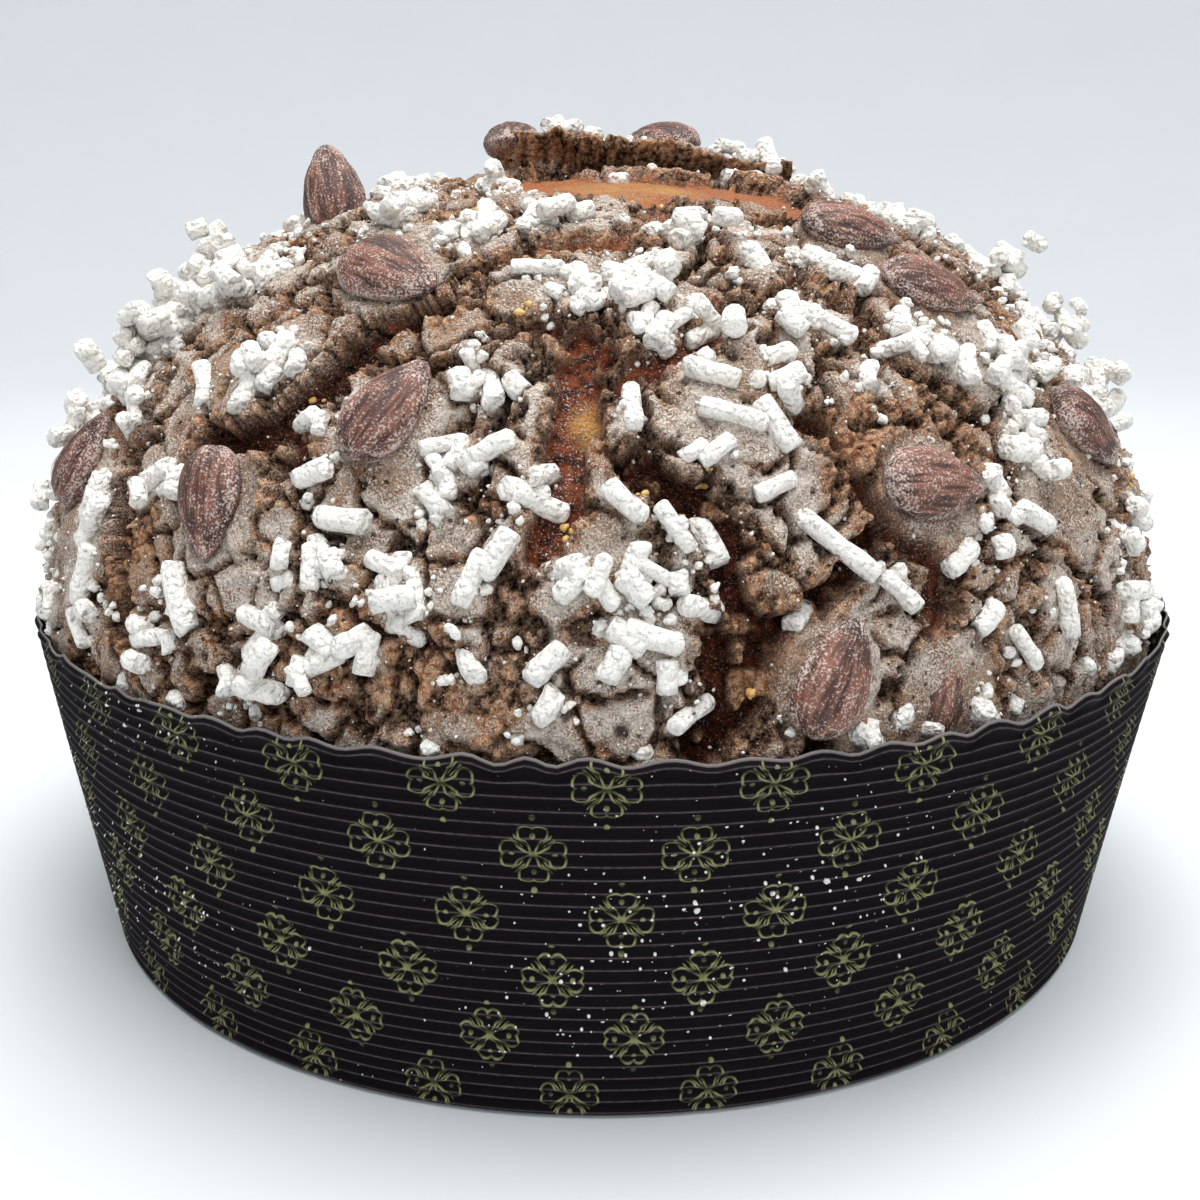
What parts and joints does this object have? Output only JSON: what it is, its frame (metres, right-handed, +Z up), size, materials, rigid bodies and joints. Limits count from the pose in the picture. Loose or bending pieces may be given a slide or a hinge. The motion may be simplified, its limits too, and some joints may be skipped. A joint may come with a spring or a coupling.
{
  "type": "panettone",
  "caption": "Low domed sweet loaf with a cracked almond glaze, whole almonds and pearl sugar, standing in its fluted paper baking mould.",
  "frame": {"origin": "middle of the paper mould's flat underside", "axes": "+Z up through the dome, -Y towards the front that the picture shows"},
  "size_m": [0.2312, 0.2321, 0.1583],
  "materials": {
    "loaf": "baked almond glaze crust with pearl sugar",
    "paper": "dark printed baking paper",
    "almond": "whole roasted almond in its skin"
  },
  "bodies": {
    "root": {"loaf": "loaf", "paper_mould": "paper", "almond_01": "almond", "almond_02": "almond", "almond_03": "almond", "almond_04": "almond", "almond_05": "almond", "almond_06": "almond", "almond_07": "almond", "almond_08": "almond", "almond_09": "almond", "almond_10": "almond", "almond_11": "almond", "almond_12": "almond", "almond_13": "almond", "almond_14": "almond", "almond_15": "almond", "almond_16": "almond", "almond_17": "almond", "almond_18": "almond", "almond_19": "almond", "almond_20": "almond", "almond_21": "almond", "almond_22": "almond", "almond_23": "almond", "almond_24": "almond"}
  },
  "joints": []
}
